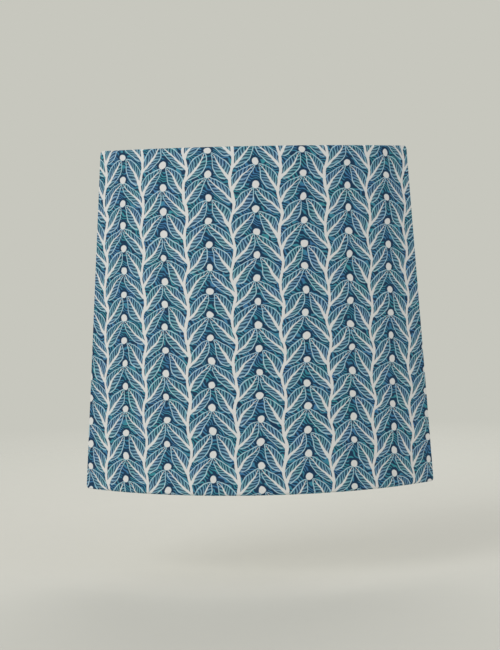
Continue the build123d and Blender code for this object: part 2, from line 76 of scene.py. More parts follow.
# How many steps the grids of points take
TURN_STEPS = 96
RISE_STEPS = 40
FACE_STEPS = 120
TAB_STEPS = 4
MARGIN_STEPS = 5
HEM_STEPS = 48
BEAD_STEPS = 16
CAP_STEPS = 144
CAP_EDGE_STEPS = 6
EDGE_STEPS = 8
SHELL_STEPS = 168
SHANK_STEPS = 156
HEAD_STEPS = 40
FLOOR_STEPS = 8

# Waves in which the tucked edge of a hem wanders: share of the whole, waves a turn, and start
HEM_WAVES = ((0.6, 17.0, 0.0), (0.4, 43.0, 1.0))

# How far the waves round and up a bead of weld swell it, and its height for its width
BEAD_ROUND = 0.10
BEAD_UP = 0.06
BEAD_SQUASH = 0.7

# Proportions of the print: shares of a leaf's length or width, of a stroke's pitch, or of the ink
DRIFTS = ((11 * MM, 2.6 * MM), (3 * MM, 0.7 * MM))  # size of a drift, and how far it goes
SWAY = 1.6 * MM
LEAF_LEAD = 0.85  # below one, a leaf is widest before its middle
LEAF_FULLNESS = 0.8  # below one, it is fuller than a sine arch
LEAF_THIN = 0.05 * MM
OUTLINE_START = 2.0 * MM
OUTLINE_INK = 0.85
VEIN_INK = 0.55
VEIN_LIMIT = 0.92
VEIN_SLANT = 1.3
VEIN_WAVER = 0.8
DARK_VEIN = (0.60, 0.16)  # level by the rib, and its fall towards the edge
PALE_VEIN = (0.85, 0.12)
THIN_LOSS = 0.5
RIB_LIMIT = 0.95
RIB_TIP = 0.12 * MM
HATCH_SLANT = 0.6
HATCH_WAVER = 2.6
HATCH_DARK = 0.58
BERRY_RISE = 0.25
RING_GAP = 1.1 * MM
RING_HALF = 0.8 * MM
BLUR = 0.14 * MM
STROKE_BLUR = 0.14
WASH = 0.75
HUE_BLUR = 0.16
MOTTLE = 0.9

# Share of the chip board's height where its chips start
CHIP_RISE = 0.72

# Lights: place in metres, and width
LIGHTS = {
    "key": ((-1.5, -1.6, 1.1), 1.5),
    "fill": ((1.5, -1.3, 0.3), 1.4),
    "back": ((0.3, 1.4, 1.0), 1.4),
}


# Sizes and colours that a user would change


def srgb(red, green, blue):
    """A colour from its 0 to 255 screen values, as linear light."""
    level = np.array((red, green, blue)) / 255
    return np.where(level <= 0.04045, level / 12.92, ((level + 0.055) / 1.055) ** 2.4).tolist()


def length(name, default, description):
    """A size in millimetres, kept in metres."""
    return FloatProperty(
        name=name, description=description, default=default * MM, unit="LENGTH", precision=4
    )


def angle(name, default, description):
    """An angle in degrees, kept in radians."""
    return FloatProperty(name=name, description=description, default=radians(default), subtype="ANGLE")


def number(name, default, description):
    """A plain number."""
    return FloatProperty(name=name, description=description, default=default)


def colour(name, screen, description):
    """A colour given by its screen values."""
    return FloatVectorProperty(
        name=name, description=description, default=srgb(*screen), subtype="COLOR", min=0.0, max=1.0
    )


class ShadeSizes(bpy.types.PropertyGroup):
    """Sizes of the shade's wall, hems and edges"""

    top_radius: length("Top Radius", 178.0, "From the corner line to the top of the paper")
    bottom_radius: length("Bottom Radius", 202.0, "From the corner line to the bottom of the paper")
    height: length("Height", 275.0, "Upright height of the shade")
    paper: length("Paper", 0.3, "Thickness of the paper")
    glue: length("Glue", 0.1, "Thickness of the glue between paper and liner")
    liner: length("Liner", 0.6, "Thickness of the liner")
    wire: length("Wire", 3.5, "Diameter of the frame's wire")
    standoff: length("Leg Standoff", 4.0, "From a wall to the middle of a wire leg")
    wall_gap: length("Wall Gap", 1.0, "From a wall to the edge of the paper")
    corner: length("Corner Rounding", 3.0, "Radius of the paper's four corners")
    hem_turn: angle("Hem Turn", 255.0, "How far the paper rolls round the wire")
    tuck: angle("Tuck", 9.0, "How far the tucked edge of a hem wanders, being cut by hand")
    half_corner: angle("Half Corner", 45.0, "From the front to either wall")


class PrintSizes(bpy.types.PropertyGroup):
    """Sizes and inks of the printed leaf stripes"""

    stripe: length("Stripe", 38.0, "From one stem to the next")
    pitch: length("Leaf Pitch", 18.5, "Up the stem from leaf to leaf")
    leaf_length: length("Leaf Length", 27.5, "From the stem to the tip of a leaf")
    leaf_half: length("Leaf Half Width", 5.6, "From the rib to the edge of a leaf")
    stem_half: length("Stem Half Width", 1.15, "From the middle of a stem to its edge")
    rib_half: length("Rib Half Width", 1.15, "From the middle of a leaf's rib to its edge, at the stem")
    outline: length("Outline", 0.76, "Width of the pale line round a leaf")
    berry: length("Berry", 2.8, "Radius of a berry between two stems")
    vein: length("Vein Pitch", 3.7, "From vein to vein along a leaf")
    hatch: length("Hatch Pitch", 3.1, "From stroke to stroke of the ground")
    lean: angle("Leaf Lean", 40.0, "Between a leaf and its stem")
    bare: colour("Bare Paper", (215, 215, 211), "Paper with no ink")
    pale: colour("Pale Ink", (178, 206, 212), "Thinned ink of veins, outlines and washes")
    blue: colour("Blue Ink", (60, 114, 156), "Lighter ink where it leans to blue")
    teal: colour("Teal Ink", (50, 134, 144), "Lighter ink where it leans to green")
    navy: colour("Navy Ink", (8, 50, 80), "Darker ink")
    back: colour("Paper Back", (226, 224, 215), "Cut edges and the unprinted side")


class FittingSizes(bpy.types.PropertyGroup):
    """Sizes of the screw threads and of the cover's screws"""

    thread_pitch: length("Thread Pitch", 2.822, "Up the lamp thread in one turn")
    thread_depth: length("Thread Depth", 0.55, "From crest to root of the lamp thread")
    shell_wall: length("Shell Wall", 0.6, "Thickness of the lampholder's thread shell")
    shell_bore: length("Shell Bore", 14.6, "Inside the thread shell, in the grooves")
    shell_hole: length("Shell Hole", 10.0, "Hole in the foot of the thread shell")
    screw_head: length("Screw Head", 8.0, "Diameter of a cover screw's head")
    screw_dome: length("Screw Dome", 2.4, "Height of a cover screw's head")
    screw_shank: length("Screw Shank", 4.0, "Diameter of a cover screw's shank")
    screw_length: length("Screw Length", 9.0, "Length of a cover screw's shank")
    screw_pitch: length("Screw Pitch", 0.7, "Up a cover screw's thread in one turn")
    screw_depth: length("Screw Thread Depth", 0.35, "From crest to root of a cover screw's thread")
    cross_reach: length("Cross Reach", 2.0, "From a cover screw's axis to the end of its cross")
    cross_half: length("Cross Half Width", 0.5, "Half the width of a bar of the cross")
    cross_depth: length("Cross Depth", 1.4, "Depth of the cross")
    cross_slope: length("Cross Slope", 0.2, "Over which a side of the cross slants")


class FittingColours(bpy.types.PropertyGroup):
    """Colours of the frame, plate, lampholder and bulb"""

    liner: colour("Liner", (232, 230, 222), "Plain sheet under the paper")
    wire: colour("Dipped Wire", (228, 228, 223), "White coat on the wire")
    powder: colour("Powder Coat", (231, 231, 226), "White coat on plate and cover")
    moulded: colour("Moulding", (233, 231, 224), "Lampholder and bulb collar")
    nylon: colour("Nylon", (222, 219, 205), "Terminal block")
    rubber: colour("Rubber", (38, 38, 39), "Cable grommet")
    brass: colour("Brass", (206, 176, 108), "Terminals, thread shell and contact")
    zinc: colour("Zinc", (186, 190, 194), "Plated nuts, screws and washers")
    nickel: colour("Nickel", (200, 197, 190), "Arm, collar, screws and bulb cap")
    opal: colour("Opal", (241, 240, 236), "Globe of the bulb")
    glass: colour("Black Glass", (24, 24, 27), "Insulator under the bulb cap")
    solder: colour("Solder", (182, 182, 185), "Contact under the bulb")
    mask: colour("Board", (228, 230, 226), "Board under the globe")
    phosphor: colour("Chips", (214, 190, 62), "Chips on the board")


class StageSettings(bpy.types.PropertyGroup):
    """Camera, lights, floor and background"""

    floor_drop: length("Floor Drop", 70.0, "From the shade's lower edge down to the floor")
    floor_radius: length("Floor Radius", 950.0, "Where the floor has faded out")
    fade_middle: number("Fade Middle", 0.62, "Share of the floor's radius where it has half faded")
    fade_half: number("Fade Half", 0.36, "Share of the radius from there to either end of the fade")
    floor: colour("Floor", (203, 202, 193), "Plain pale floor")
    background: colour("Background", (199, 199, 190), "What the camera sees past the floor")
    ambient: number("Ambient", 0.6, "Light from all round")
    key: number("Key Light", 24.2, "Soft light from the upper left, in watts")
    fill: number("Fill Light", 5.0, "Soft light from the right, in watts")
    back: number("Back Light", 15.0, "Soft light from behind, in watts")
    camera_distance: length("Camera Distance", 1597.0, "From the corner line to the camera")
    camera_side: length("Camera Side", -27.2, "Camera to the right of the middle")
    camera_height: length("Camera Height", 53.1, "Camera above the origin")
    focal: FloatProperty(
        name="Focal Length", description="Lens of the camera", default=99.1, subtype="DISTANCE_CAMERA"
    )
    yaw: angle("Camera Yaw", 0.837, "Camera turned to the right")
    pitch: angle("Camera Pitch", -3.428, "Camera tilted up")
    roll: angle("Camera Roll", -1.102, "Camera leaning to its left")


# Meshes from grids of points


def grid_faces(rows, columns, first):
    """Corner numbers of every four-sided face of a grid whose points are numbered row by row."""
    index = first + np.arange(rows * columns).reshape(rows, columns)
    corners = (index[:-1, :-1], index[:-1, 1:], index[1:, 1:], index[1:, :-1])
    return np.stack(corners, axis=-1).reshape(-1, 4)


def add_object(name, data):
    """A new object in the scene."""
    made = bpy.data.objects.new(name, data)
    bpy.context.scene.collection.objects.link(made)
    return made


def make_piece(name, patches, finishes, body, replaced=(), maps=None, sharp=40.0):
    """One piece from grids of points. Equal points are merged: seams close and poles become triangles."""
    counts = [patch.shape[0] * patch.shape[1] for patch in patches]
    starts = np.cumsum([0] + counts[:-1])
    points = np.concatenate([patch.reshape(-1, 3) for patch in patches])
    corners = np.concatenate(
        [grid_faces(*patch.shape[:2], first) for patch, first in zip(patches, starts)]
    )
    places, merged = np.unique(np.round(points, MERGE_DIGITS) + 0.0, axis=0, return_inverse=True)
    loops = merged.reshape(-1)[corners]
    doubled = loops == np.roll(loops, -1, axis=1)
    whole = ~doubled.any(axis=1)
    pole = doubled.sum(axis=1) == 1
    single = ~doubled[pole]
    faces = loops[whole].tolist() + loops[pole][single].reshape(-1, 3).tolist()
    mesh = bpy.data.meshes.new(name)
    mesh.from_pydata(places.tolist(), [], faces)
    if maps is not None:
        flat = np.concatenate([part.reshape(-1, 2) for part in maps])
        order = np.concatenate([corners[whole].ravel(), corners[pole][single]])
        mesh.uv_layers.new(name=MAP_NAME).data.foreach_set("uv", flat[order].astype(np.float32).ravel())
    mesh.shade_smooth()
    mesh.set_sharp_from_angle(angle=radians(sharp))
    for finish in finishes:
        mesh.materials.append(finish)
    piece = add_object(name, mesh)
    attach(piece, body)
    if replaced:
        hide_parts(*replaced)
    return piece


def thicken(piece, thickness, inside):
    """Thickens a sheet on its inner side. That side and the rim take the material numbered inside."""
    wall = piece.modifiers.new("thickness", "SOLIDIFY")
    wall.thickness = thickness
    wall.offset = -1.0
    wall.use_even_offset = True
    wall.material_offset = inside
    wall.material_offset_rim = inside


def spaced(first, last, steps):
    """Evenly spaced values from first to last."""
    return np.linspace(first, last, steps + 1)


def around():
    """Angles once round an axis, first and last alike."""
    return spaced(0, 2 * pi, TURN_STEPS)


def turned(radius, height, axis):
    """A profile of radii and heights carried once round an upright axis.

    Radii and heights may also change with the turn.
    """
    turn = around()
    radius = np.broadcast_to(radius, (len(radius), len(turn)))
    height = np.broadcast_to(height, radius.shape)
    return np.stack([axis.x + radius * np.cos(turn), axis.y + radius * np.sin(turn), height], axis=-1)


def column(values):
    """Values down a profile as one column, to combine with values round the turn."""
    return np.asarray(values, float)[:, None]


# The shade's wall


def shade_shape(sizes):
    """Lines of the shade worked out from its sizes: lean, slant, hem, and where hems and edges stop.

    Bend is the radius of a ring's corner, in which a stay just stands, and hem is the outer radius of a
    rolled hem, which is also how far up the slope it starts.
    """
    lean = atan2(sizes.bottom_radius - sizes.top_radius, sizes.height)
    slant = sizes.height / cos(lean)
    wall = sizes.paper + sizes.glue + sizes.liner
    hem = (sizes.wire + 2 * SLIP + wall + sizes.paper) / 2
    bend = (sizes.wire + 2 * SLIP) / (sqrt(2) - 1)
    hem_half = sizes.half_corner - asin((sizes.standoff + bend + sizes.wire / 2) / sizes.top_radius)
    panel_half = sizes.half_corner - asin(sizes.wall_gap / sizes.top_radius)
    middle_radius = (sizes.top_radius + sizes.bottom_radius) / 2
    return SimpleNamespace(
        lean=lean,
        slant=slant,
        foot_radius=sizes.bottom_radius,
        foot_height=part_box("shade_paper")[0].z + hem * (1 + sin(lean) - cos(lean)),
        hem=hem,
        hem_half=hem_half,
        panel_half=panel_half,
        middle_radius=middle_radius,
        tab=(panel_half - hem_half) * middle_radius,
        corner=sizes.corner,
        liner_out=-(sizes.paper + sizes.glue),
    )


def on_shade(shape, bearing, out, up):
    """Points of the leaning wall: bearing from the front, out of the printed face, and up its slope."""
    radius = shape.foot_radius + out * cos(shape.lean) - up * sin(shape.lean)
    height = shape.foot_height + out * sin(shape.lean) + up * cos(shape.lean)
    bearing, radius, height = np.broadcast_arrays(bearing, radius, height)
    return np.stack([radius * np.sin(bearing), -radius * np.cos(bearing), height], axis=-1)


def on_flat(shape, bearing, up):
    """The same places on the flat cut paper: the cone unrolled round its point."""
    reach = shape.foot_radius / sin(shape.lean) - up
    turn = bearing * sin(shape.lean)
    across, along = np.broadcast_arrays(reach * np.sin(turn), reach * np.cos(turn))
    return np.stack([across, shape.foot_radius / sin(shape.lean) - along], axis=-1)


def corner_cut(shape, inward):
    """How much a rounded corner takes off the sheet's end at a distance in from its side edge."""
    short = np.clip(shape.corner - inward, 0, None)
    return shape.corner - np.sqrt(shape.corner**2 - short**2)


def sheet_columns(shape):
    """Bearings from side edge to side edge, and each one's distance in from the nearer edge.

    They crowd together by the edges, round the rounded corners, as far in as the hems start.
    """
    rounded = shape.corner * (1 - np.cos(spaced(0, pi / 2, EDGE_STEPS)))
    inward = np.append(rounded, spaced(shape.corner, shape.tab, MARGIN_STEPS)[1:])
    side = shape.panel_half - inward / shape.middle_radius
    middle = spaced(-shape.hem_half, shape.hem_half, FACE_STEPS)[1:-1]
    bearing = np.concatenate([-side, middle, side[::-1]])
    return bearing, np.concatenate([inward, np.full(len(middle), shape.tab), inward[::-1]])


def build_paper(sizes, inks):
    """Printed paper: a straight face from edge to edge, tabs by its sides, and a hem round each wire.

    The face is a grid of bearing and height up the slope. A tab carries it on to the cut end, less the
    rounded corner. A hem is a grid of bearing and roll angle: a circle round the wire that starts at the
    face and ends where two sine waves take the tucked edge.
    """
    shape = shade_shape(sizes)
    bearing, inward = sheet_columns(shape)
    end = sizes.paper + corner_cut(shape, inward)
    low = np.maximum(shape.hem, end)
    up = low + column(spaced(0, 1, RISE_STEPS)) * (shape.slant - 2 * low)
    patches = [on_shade(shape, bearing, 0.0, up)]
    maps = [on_flat(shape, bearing, up)]
    count = EDGE_STEPS + 1 + MARGIN_STEPS
    for part in (slice(None, count), slice(-count, None)):
        tab = end[part] + column(spaced(0, 1, TAB_STEPS)) * (low - end)[part]
        for heights in (tab, shape.slant - tab[::-1]):
            patches.append(on_shade(shape, bearing[part], 0.0, heights))
            maps.append(on_flat(shape, bearing[part], heights))
    hem_bearing = bearing[count - 1 : 1 - count]
    wander = sum(share * np.sin(rate * hem_bearing + start) for share, rate, start in HEM_WAVES)
    roll = column(spaced(0, 1, HEM_STEPS)) * (sizes.hem_turn - sizes.tuck * (1 + wander))
    out = shape.hem * (np.cos(roll) - 1)
    past = shape.hem * np.sin(roll)
    hem_high = shape.slant - shape.hem
    top = on_shade(shape, hem_bearing, out, hem_high + past)
    bottom = on_shade(shape, hem_bearing, out, shape.hem - past)
    patches += [top, bottom[::-1]]
    maps.append(on_flat(shape, hem_bearing, hem_high + shape.hem * roll))
    maps.append(on_flat(shape, hem_bearing, shape.hem - shape.hem * roll)[::-1])
    finishes = [printed_paper(inks), plain_paper(inks)]
    piece = make_piece("printed_paper", patches, finishes, "shade", ["shade_paper"], maps)
    thicken(piece, sizes.paper, 1)


def build_liner(sizes, colours):
    """Liner: a grid of bearing and height between the hems, less its rounded corners, then thickened."""
    shape = shade_shape(sizes)
    bearing, inward = sheet_columns(shape)
    low = shape.hem + corner_cut(shape, inward)
    up = low + column(spaced(0, 1, RISE_STEPS)) * (shape.slant - 2 * low)
    patch = on_shade(shape, bearing, shape.liner_out, up)
    finish = liner_sheet(colours)
    piece = make_piece("liner_sheet", [patch], [finish], "shade", ["shade_liner"])
    thicken(piece, sizes.liner, 0)


def stay_ends(name, side, wire):
    """Middles of a stay's lower and upper ends. It leans in towards the corner line as it rises."""
    low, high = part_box(name)
    wide, narrow = (high.x, low.x) if side > 0 else (low.x, high.x)
    lower = Vector((wide - side * wire / 2, low.y + wire / 2, low.z + wire / 2))
    upper = Vector((narrow + side * wire / 2, high.y - wire / 2, high.z - wire / 2))
    return lower, upper


def bead(centre, reach, seed):
    """A lump of weld: a flattened ball, a grid of latitude and longitude.

    Three sine waves run round it, fading out at its poles, and two up it.
    """
    rise = column(spaced(-pi / 2, pi / 2, BEAD_STEPS))
    turn = spaced(0, 2 * pi, 2 * BEAD_STEPS)
    wave_round = BEAD_ROUND * np.cos(rise) ** 2 * np.sin(3 * turn + seed)
    wave_up = BEAD_UP * np.sin(4 * rise + seed)
    swell = reach * (1 + wave_round + wave_up)
    flat = swell * np.cos(rise)
    height = BEAD_SQUASH * swell * np.sin(rise)
    return np.stack([flat * np.cos(turn), flat * np.sin(turn), height], axis=-1) + np.array(centre)


def build_wires(sizes, colours):
    """White coat on the wire frame, and a lump of weld where each stay meets a ring."""
    coat = dipped_wire(colours)
    dress(coat, "shade_top_wire", "shade_bottom_wire", "shade_left_stay", "shade_right_stay")
    beads = []
    for name, side in (("shade_left_stay", -1), ("shade_right_stay", 1)):
        for step, end in enumerate(stay_ends(name, side, sizes.wire)):
            touch = end - Vector((side * sizes.wire / 2, 0, 0))
            beads.append(bead(touch, sizes.wire / 2, step + 2 * side))
    make_piece("frame_welds", beads, [coat], "shade", sharp=180.0)


# Plate, cover and fittings


def dress(finish, *names):
    """Gives carried-over nodes their finish."""
    for name in names:
        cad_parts[name].material_slots[0].material = finish


def thread_relief(height, turn, pitch, depth, low, high):
    """How far a rolled thread falls below its crest: a cosine wave that climbs a pitch each turn.

    It fades out over half a pitch at its low and high ends.
    """
    fade = np.clip(np.minimum(height - low, high - height) / (pitch / 2), 0, 1)
    return depth * fade * (0.5 - 0.5 * np.cos(2 * pi * height / pitch - turn))


def lamp_thread(radius, height, sizes, low, high):
    """A profile of radii and heights round the lamp's axis, less the lamp thread between two heights."""
    near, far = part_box("bulb_cap")
    relief = thread_relief(column(height), around(), sizes.thread_pitch, sizes.thread_depth, low, high)
    return turned(np.clip(column(radius) - relief, 0, None), column(height), (near + far) / 2)


def build_bulb_cap(sizes, finish):
    """Bulb cap: a profile round the lamp axis, with the lamp thread pressed into its side."""
    low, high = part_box("bulb_cap")
    crest = (high.x - low.x) / 2
    edge = sizes.shell_wall
    bend = spaced(0, pi / 2, CAP_EDGE_STEPS)
    side = spaced(low.z + edge, high.z, CAP_STEPS)[1:]
    radius = np.concatenate([[0], crest - edge + edge * np.sin(bend), np.full(len(side), crest), [0]])
    height = np.concatenate([[low.z], low.z + edge - edge * np.cos(bend), side, [high.z]])
    patch = lamp_thread(radius, height, sizes, low.z + edge, high.z - sizes.thread_pitch)
    make_piece("threaded_cap", [patch], [finish], "bulb", ["bulb_cap"])


def build_thread_shell(sizes, finish):
    """Thread shell: a foot with a hole, and a wall whose two sides follow the lamp thread together."""
    low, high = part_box("lampholder_thread_shell")
    foot = (high.x - low.x) / 2
    bore = sizes.shell_bore / 2
    wall = sizes.shell_wall
    hole = sizes.shell_hole / 2
    side = spaced(low.z + wall, high.z, SHELL_STEPS)
    flat = np.ones(len(side))
    radius = np.concatenate([[hole, foot, foot], (bore + wall) * flat, bore * flat, [hole, hole]])
    height = np.concatenate([[low.z, low.z, low.z + wall], side, side[::-1], [low.z + wall, low.z]])
    patch = lamp_thread(radius, height, sizes, low.z + wall, high.z)
    make_piece(
        "rolled_thread_shell", [patch], [finish], "wall_unit", ["lampholder_thread_shell"]
    )


def cross_recess(radius, turn, sizes):
    """Depth of a cross: the deeper of two bars at right angles, with slanting sides and ends."""
    across, along = radius * np.cos(turn), radius * np.sin(turn)
    bars = []
    for first, second in ((across, along), (along, across)):
        inside = np.minimum(sizes.cross_half - abs(first), (sizes.cross_reach - abs(second)) / 2)
        bars.append(np.clip(inside / sizes.cross_slope + 0.5, 0, 1))
    return sizes.cross_depth * np.maximum(*bars)


def build_cover_screws(sizes, finish):
    """Cover screws: shank and round head are a profile round the screw's axis, less a cross in its top.

    Along the shank a fine cosine thread climbs a pitch each turn. The head is flat with a round edge, which
    touches the sides of the node's box at half a right angle: that gives the place of its seat.
    """
    low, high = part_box("cover_screws")
    head, shank = sizes.screw_head / 2, sizes.screw_shank / 2
    edge = sizes.screw_dome / 2
    crown = head - edge
    climb = spaced(-sizes.screw_length, 0, SHANK_STEPS)
    bend = spaced(0, pi / 2, EDGE_STEPS)
    top = spaced(crown, 0, HEAD_STEPS)[1:]
    radius = np.concatenate([[0], np.full(len(climb), shank), crown + edge * np.cos(bend), top])
    dome = edge + edge * np.sin(bend)
    rise = np.concatenate([[climb[0]], climb, dome, np.full(len(top), dome[-1])])
    pitch, depth = sizes.screw_pitch, sizes.screw_depth
    relief = thread_relief(column(rise), around(), pitch, depth, climb[0], -sizes.screw_shank)
    sunk = cross_recess(column(radius), around(), sizes) * (column(rise) > edge)
    out = np.broadcast_to(column(radius) - relief * (column(radius) == shank), relief.shape)
    up = column(rise) - sunk
    first, second = out * np.cos(around()), out * np.sin(around())
    upright = np.array([0, 0, 1])
    reach = head / sqrt(2) + edge
    patches = []
    for side, place in ((-1, low.x + reach), (1, high.x - reach)):
        axis = np.array([side, -1, 0]) / sqrt(2)
        over = np.array([1, side, 0]) / sqrt(2)
        seat = np.array([place, low.y + reach, (low.z + high.z) / 2])
        patches.append(seat + up[..., None] * axis + first[..., None] * over + second[..., None] * upright)
    make_piece("cross_head_screws", patches, [finish], "wall_unit", ["cover_screws"])


def build_plate(sizes, colours):
    """Powder coat on plate and cover, rubber in the cable hole, and the cover's screws."""
    dress(powder_coat(colours), "corner_backplate", "corner_cover")
    dress(rubber(colours), "cable_grommet")
    build_cover_screws(sizes, satin_nickel(colours))


def build_wiring(colours):
    """Finishes of what is inside the cover."""
    zinc = zinc_plate(colours)
    dress(zinc, "terminal_clamp_screws", "terminal_fixing_screw", "arm_washer", "arm_nut")
    dress(zinc, "earth_stud", "earth_washer", "earth_nut")
    dress(nylon(colours), "terminal_block")
    dress(drawn_brass(colours), "terminal_tubes")


def build_arm(colours):
    """Satin nickel on the arm and its collar."""
    dress(satin_nickel(colours), "lamp_arm", "arm_collar")


def build_lampholder(sizes, colours):
    """Finishes of the lampholder, and its thread shell."""
    dress(moulding(colours), "lampholder_cap", "lampholder_insert", "lampholder_skirt")
    dress(zinc_plate(colours), "lampholder_grub_screw")
    brass = drawn_brass(colours)
    dress(brass, "lampholder_contact")
    build_thread_shell(sizes, brass)


def build_bulb(sizes, colours):
    """Finishes of the bulb, and its threaded cap."""
    dress(solder(colours), "bulb_contact")
    dress(black_glass(colours), "bulb_insulator")
    build_bulb_cap(sizes, satin_nickel(colours))
    dress(moulding(colours), "bulb_collar")
    dress(chip_board(colours), "bulb_led_board")
    dress(opal(colours), "bulb_globe")


# Materials


def plug(tree, socket, value):
    """Links a field or an output to a socket, or sets the socket."""
    if isinstance(value, Field):
        value = value.socket
    if isinstance(value, bpy.types.NodeSocket):
        tree.links.new(value, socket)
    else:
        socket.default_value = value


def fade_shaders(tree, factor, first, second, output):
    """Gives an output one shader, or another as the factor rises from nothing to one."""
    mix = tree.nodes.new("ShaderNodeMixShader")
    for socket, value in zip(mix.inputs, (factor, first.outputs[0], second.outputs[0])):
        plug(tree, socket, value)
    plug(tree, tree.nodes[output].inputs["Surface"], mix.outputs[0])


class Field:
    """A number that varies over a surface. Arithmetic on it adds Math nodes to its material."""

    def __init__(self, tree, socket):
        self.tree = tree
        self.socket = socket

    def math(self, operation, *others, clamp=False):
        """One Math node, with this field as its first input."""
        node = self.tree.nodes.new("ShaderNodeMath")
        node.operation = operation
        node.use_clamp = clamp
        for socket, value in zip(node.inputs, (self, *others)):
            plug(self.tree, socket, value)
        return Field(self.tree, node.outputs[0])

    def __add__(self, other):
        return self.math("ADD", other)

    def __sub__(self, other):
        return self.math("SUBTRACT", other)

    def __rsub__(self, other):
        return self.math("MULTIPLY_ADD", -1.0, other)

    def __mul__(self, other):
        return self.math("MULTIPLY", other)

    def __truediv__(self, other):
        return self.math("DIVIDE", other)

    def __pow__(self, other):
        return self.math("POWER", other)

    def __abs__(self):
        return self.math("ABSOLUTE")

    __radd__ = __add__
    __rmul__ = __mul__

    def floor(self):
        """Whole steps of the field."""
        return self.math("FLOOR")

    def sine(self):
        """Sine of the field in radians."""
        return self.math("SINE")

    def most(self, other):
        """The larger of two values."""
        return self.math("MAXIMUM", other)

    def above(self, level):
        """One where the field is above a level, else nothing."""
        return self.math("GREATER_THAN", level)

    def below(self, level):
        """One where the field is below a level, else nothing."""
        return self.math("LESS_THAN", level)

    def shown(self, blur):
        """One where the field is positive, fading to nothing over twice the blur."""
        return self.math("MULTIPLY_ADD", 0.5 / blur, 0.5, clamp=True)

    def wave(self):
        """A saw of period one as a ridge: nothing at the middle of each period, one at its ends."""
        return abs(self - self.floor() - 0.5) * 2.0


class Finish:
    """A new material, with short calls for the nodes that the finishes share."""

    def __init__(self, name, **sockets):
        self.material = bpy.data.materials.new(name)
        self.material.use_nodes = True
        self.tree = self.material.node_tree
        self.shader = self.tree.nodes["Principled BSDF"]
        self.place = self.node("ShaderNodeTexCoord").outputs["Object"]
        for key, value in sockets.items():
            self.shader.inputs[key.replace("_", " ")].default_value = value

    def node(self, kind, **inputs):
        """A new node with some inputs set or linked."""
        node = self.tree.nodes.new(kind)
        for key, value in inputs.items():
            plug(self.tree, node.inputs[key.replace("_", " ")], value)
        return node

    def noise(self, size, detail=2.0, stretch=None, output="Fac"):
        """Cloudy noise of a feature size in metres, about one half on average, stretched if need be."""
        place = self.place
        if stretch:
            place = self.node("ShaderNodeMapping", Vector=place, Scale=stretch).outputs[0]
        cloud = self.node("ShaderNodeTexNoise", Vector=place, Scale=1.0 / size, Detail=detail)
        return Field(self.tree, cloud.outputs[output])

    def split(self, vector):
        """The three parts of a vector."""
        parts = self.node("ShaderNodeSeparateXYZ", Vector=vector).outputs
        return [Field(self.tree, part) for part in parts]

    def blend(self, factor, first, second):
        """Goes from one colour to another as the factor rises from nothing to one."""
        node = self.tree.nodes.new("ShaderNodeMix")
        node.data_type = "RGBA"
        # Of a Mix node's many sockets, these are the ones for colours
        for index, value in ((0, factor), (6, first), (7, second)):
            value = (*value, 1.0) if isinstance(value, (list, Color)) else value
            plug(self.tree, node.inputs[index], value)
        return node.outputs[2]

    def scaled(self, tone, factor):
        """A colour made lighter or darker by a factor about one."""
        node = self.node("ShaderNodeVectorMath")
        node.operation = "SCALE"
        plug(self.tree, node.inputs["Vector"], tone)
        plug(self.tree, node.inputs["Scale"], factor)
        return node.outputs[0]

    def shades(self, factor, tone, spread):
        """A colour that goes from darker to lighter by spread as the factor rises."""
        darker = [level * (1 - spread) for level in tone]
        lighter = [min(1.0, level * (1 + spread)) for level in tone]
        return self.blend(factor, darker, lighter)

    def surface(self, base, roughness, relief=None, depth=0.0):
        """Links colour, roughness and a relief of some depth in metres, and gives the material."""
        plug(self.tree, self.shader.inputs["Base Color"], base)
        plug(self.tree, self.shader.inputs["Roughness"], roughness)
        if relief is not None:
            bump = self.node("ShaderNodeBump", Height=relief, Distance=depth, Strength=1.0)
            plug(self.tree, self.shader.inputs["Normal"], bump.outputs[0])
        return self.material

    def clouded(self, size, detail, tone, spread, roughness, depth):
        """Colour, roughness and relief that follow one noise. Roughness gives its least and its rise."""
        cloud = self.noise(size, detail)
        least, rise = roughness
        return self.surface(self.shades(cloud, tone, spread), least + cloud * rise, cloud, depth)


def print_places(finish):
    """Places on the flat paper, drifting a little as a hand-cut block prints."""
    flat = finish.node("ShaderNodeUVMap")
    flat.uv_map = MAP_NAME
    finish.place = flat.outputs[0]
    x, y, _ = finish.split(finish.place)
    for size, reach in DRIFTS:
        right, up, _ = finish.split(finish.noise(size, 0.0, output="Color"))
        x = x + (right - 0.5) * reach
        y = y + (up - 0.5) * reach
    return x, y


def by_stem(x, y, inks):
    """Height up the nearest stem, and distance to the right of it.

    Every other stem starts half a pitch higher, and each sways in a sine wave two pitches long.
    """
    stem = (x / inks.stripe + 0.5).floor()
    height = y + stem.math("FLOORED_MODULO", 2.0) * (inks.pitch / 2)
    sway = (height * (pi / inks.pitch)).sine() * SWAY
    return height, x - stem * inks.stripe - sway


def by_leaf(height, beside, inks):
    """Distance along the nearest leaf from its stem, and distance across it from its rib.

    Leaves lean out of a stem a pitch apart, those on its left half a pitch higher.
    """
    reach = abs(beside)
    height = height - beside.below(0.0) * (inks.pitch / 2)
    course = reach * cos(inks.lean) - height * sin(inks.lean)
    gap = inks.pitch * sin(inks.lean)
    across = course - (course / gap + 0.5).floor() * gap
    along = reach / sin(inks.lean) - across / tan(inks.lean)
    return along, abs(across)


def leaf_veins(finish, along, across, edge, within, inks):
    """Darker strokes of a leaf and the pale veins between them, slanting out from the rib to its edge."""
    waver = (finish.noise(5 * MM, 0.0) - 0.5) * VEIN_WAVER
    stroke = ((along - across * VEIN_SLANT) / inks.vein + waver).wave()
    dark = (DARK_VEIN[0] - edge * DARK_VEIN[1] - stroke).shown(STROKE_BLUR) * within
    pale = (stroke - edge * PALE_VEIN[1] - PALE_VEIN[0]).shown(STROKE_BLUR) * within
    return dark, pale * along.below(VEIN_LIMIT * inks.leaf_length)


